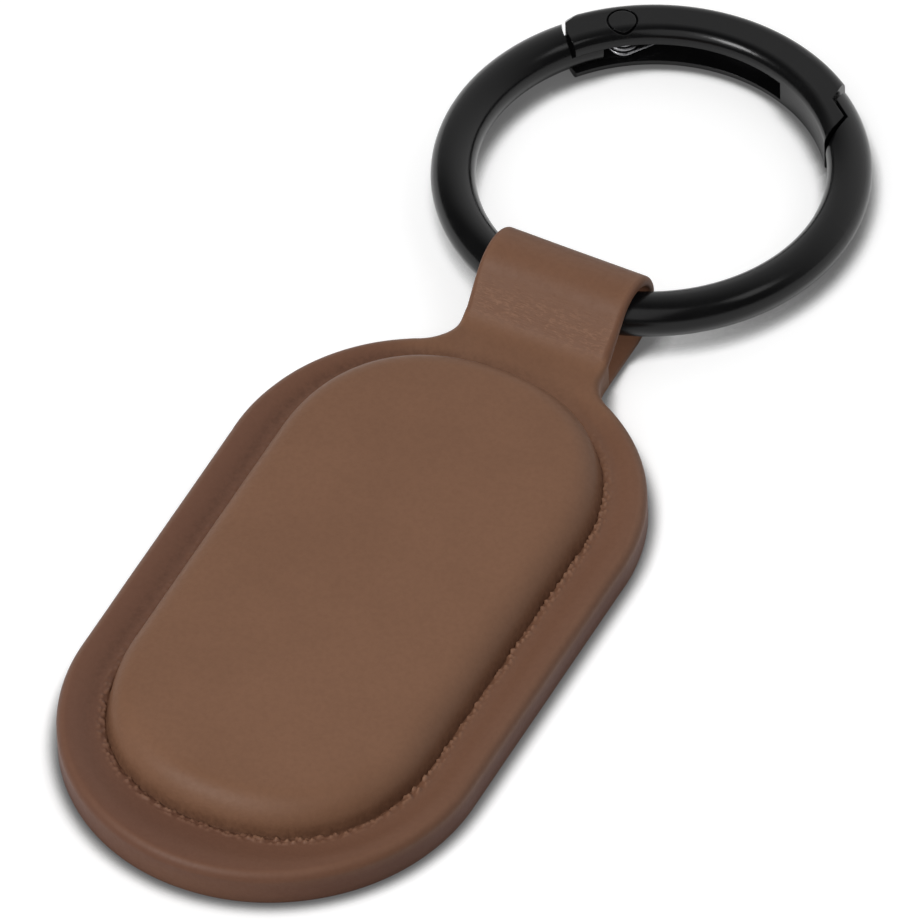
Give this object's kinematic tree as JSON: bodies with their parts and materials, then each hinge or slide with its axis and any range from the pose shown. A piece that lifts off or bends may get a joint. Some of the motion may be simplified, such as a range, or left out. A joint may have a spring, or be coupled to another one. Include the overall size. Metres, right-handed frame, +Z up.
{
  "type": "tracker tag holder",
  "caption": "Leather tracker tag holder: capsule flange with a moulded pod over a built-in tag, and a strap loop that carries a round spring-gate ring.",
  "frame": {"origin": "middle of the footprint, on the surface on which the holder lies on its back", "axes": "+Z up out of the pod's face, +Y from the pod along the strap to the ring, +X to the right"},
  "size_m": [0.04, 0.1126, 0.0079],
  "materials": {
    "leather": "smooth, satin",
    "leather_back": "smooth, satin",
    "board": "matt",
    "foam": "matt",
    "tag_plastic": "fine texture",
    "door_plastic": "fine texture",
    "seal_rubber": "matt",
    "button_rubber": "matt",
    "cell_steel": "satin",
    "contact_metal": "satin",
    "shield_metal": "satin",
    "switch_metal": "satin",
    "sounder_plastic": "matt",
    "circuit": "satin",
    "ring_finish": "gloss",
    "spring_steel": "satin"
  },
  "bodies": {
    "holder": {"front_cover": "leather", "back_cover": "leather_back", "stiffener_board": "board", "pod_foam": "foam", "tag_back_shell": "tag_plastic", "tag_front_shell": "tag_plastic", "coin_cell": "cell_steel", "circuit_board": "circuit", "negative_contact": "contact_metal", "positive_contact": "contact_metal", "radio_shield": "shield_metal", "buzzer": "sounder_plastic", "tact_switch": "switch_metal"},
    "ring": {"ring_body": "ring_finish"},
    "gate": {"ring_gate": "ring_finish", "gate_rivet": "ring_finish", "gate_spring": "spring_steel"},
    "door": {"battery_door": "door_plastic", "door_seal": "seal_rubber"},
    "button": {"button_cap": "button_rubber"}
  },
  "joints": [
    {"name": "ring_swing", "type": "hinge", "parent": "holder", "child": "ring", "pos_m": [0, 0.01918, 0.00394], "axis": [1, 0, 0], "range_deg": [-150, 165]},
    {"name": "gate_open", "type": "hinge", "parent": "ring", "child": "gate", "pos_m": [-0.01032, 0.05041, 0.00258], "axis": [0, -0.0433, -0.9991], "range_deg": [0, 35], "stiffness_Nm_per_rad": 0.06, "springref_deg": -28.65},
    {"name": "battery_door_turn", "type": "hinge", "parent": "holder", "child": "door", "pos_m": [0, -0.03395, 0.0002], "axis": [0, 0, 1], "range_deg": [0, 30]},
    {"name": "button_press", "type": "slide", "parent": "holder", "child": "button", "axis": [0, 0, 1], "range_m": [0, 0.0003], "stiffness_N_per_m": 4000, "springref_m": -0.0001}
  ]
}
